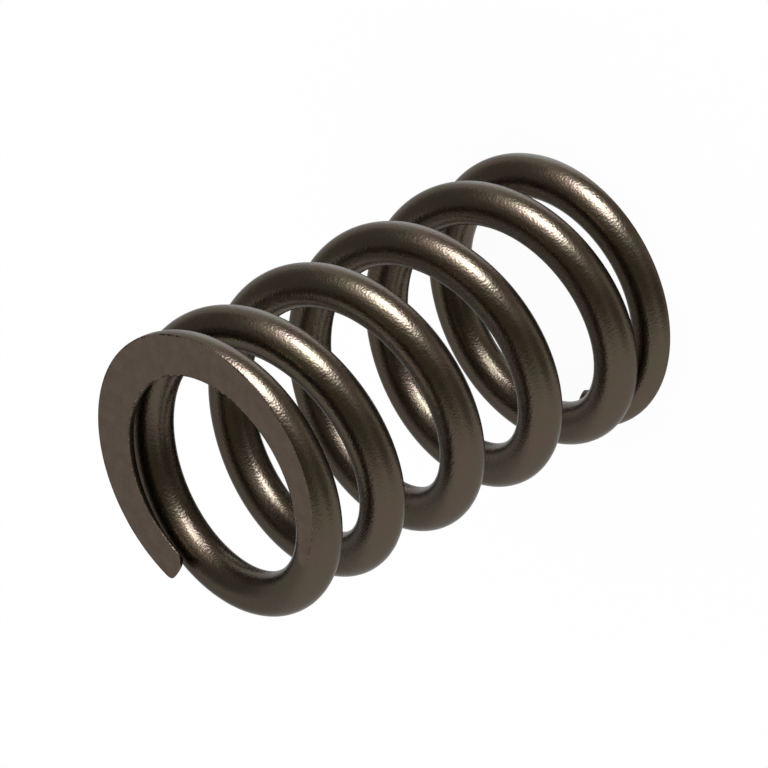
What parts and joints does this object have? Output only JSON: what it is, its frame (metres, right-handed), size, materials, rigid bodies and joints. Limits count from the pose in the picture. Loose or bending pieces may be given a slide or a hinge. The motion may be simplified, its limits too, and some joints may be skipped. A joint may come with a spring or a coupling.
{
  "type": "engine valve spring",
  "caption": "Cylindrical round-wire compression spring with closed, ground ends, which pulls an engine's poppet valve shut between the head's seat and the stem's retainer.",
  "frame": {"origin": "centre of the bottom ground face's plane, on the coil axis, at the outer box's bottom centre", "axes": "+Z along the coil axis towards the top ground face; +X through the top wire tip"},
  "size_m": [0.028, 0.028, 0.046],
  "materials": {
    "spring_steel": "shot-peened and oil-darkened satin steel, with matt ground end faces"
  },
  "bodies": {
    "root": {"valve_spring": "spring_steel"}
  },
  "joints": []
}
